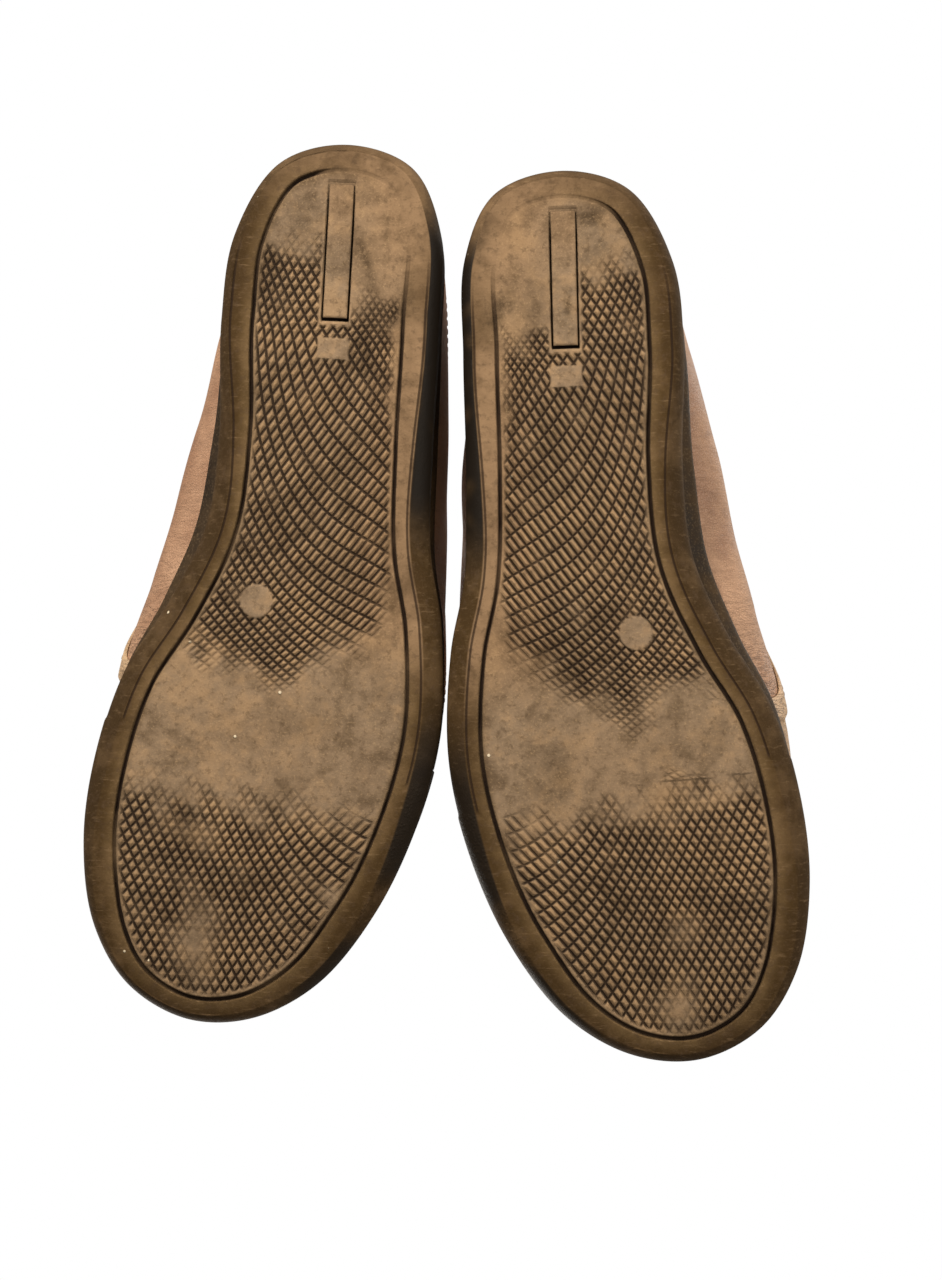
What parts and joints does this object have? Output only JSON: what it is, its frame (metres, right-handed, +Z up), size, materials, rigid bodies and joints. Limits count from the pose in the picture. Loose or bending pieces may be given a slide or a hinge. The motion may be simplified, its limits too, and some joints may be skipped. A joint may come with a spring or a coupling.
{
  "type": "ballet slippers",
  "caption": "Pair of soft leather ballet slippers with moulded rubber soles, toe bumper, foxing band, drawstring topline and a small bow",
  "frame": {"origin": "on the ground under the centre of the pair's overall box", "axes": "+Z up, the soles rest on z = 0; the toes point to -Y and the heels to +Y; the right slipper is at +X and the left one at -X, outer sides together"},
  "size_m": [0.2104, 0.2664, 0.0654],
  "materials": {
    "rubber_sole": "dusty matt rubber",
    "rubber_band": "dark rubber with a low shine",
    "leather": "soft tan leather",
    "binding": "thin folded leather tape",
    "lining": "undyed pigskin",
    "elastic": "round elastic cord",
    "board": "pressed fibre board",
    "foam": "soft latex foam",
    "steel": "spring steel"
  },
  "bodies": {
    "right_slipper": {"right_outsole": "rubber_sole", "right_tread_bar": "rubber_sole", "right_foxing_band": "rubber_band", "right_toe_bumper": "rubber_band", "right_bottom_filler": "foam", "right_shank": "steel", "right_insole_board": "board", "right_heel_pad": "foam", "right_sock_lining": "lining", "right_vamp": "leather", "right_lateral_quarter": "leather", "right_medial_quarter": "leather", "right_heel_strip": "leather", "right_toe_puff": "board", "right_heel_counter": "board", "right_vamp_lining": "lining", "right_quarter_lining": "lining", "right_topline_binding": "binding", "right_drawstring": "elastic", "right_bow_knot": "binding", "right_bow_loop_lateral": "binding", "right_bow_loop_medial": "binding", "right_bow_tail_lateral": "binding", "right_bow_tail_medial": "binding"},
    "left_slipper": {"left_outsole": "rubber_sole", "left_tread_bar": "rubber_sole", "left_foxing_band": "rubber_band", "left_toe_bumper": "rubber_band", "left_bottom_filler": "foam", "left_shank": "steel", "left_insole_board": "board", "left_heel_pad": "foam", "left_sock_lining": "lining", "left_vamp": "leather", "left_lateral_quarter": "leather", "left_medial_quarter": "leather", "left_heel_strip": "leather", "left_toe_puff": "board", "left_heel_counter": "board", "left_vamp_lining": "lining", "left_quarter_lining": "lining", "left_topline_binding": "binding", "left_drawstring": "elastic", "left_bow_knot": "binding", "left_bow_loop_lateral": "binding", "left_bow_loop_medial": "binding", "left_bow_tail_lateral": "binding", "left_bow_tail_medial": "binding"}
  },
  "joints": [
    {"name": "left_slipper_lift", "type": "slide", "parent": "right_slipper", "child": "left_slipper", "axis": [0, 0, 1], "range_m": [0, 0.15]}
  ]
}
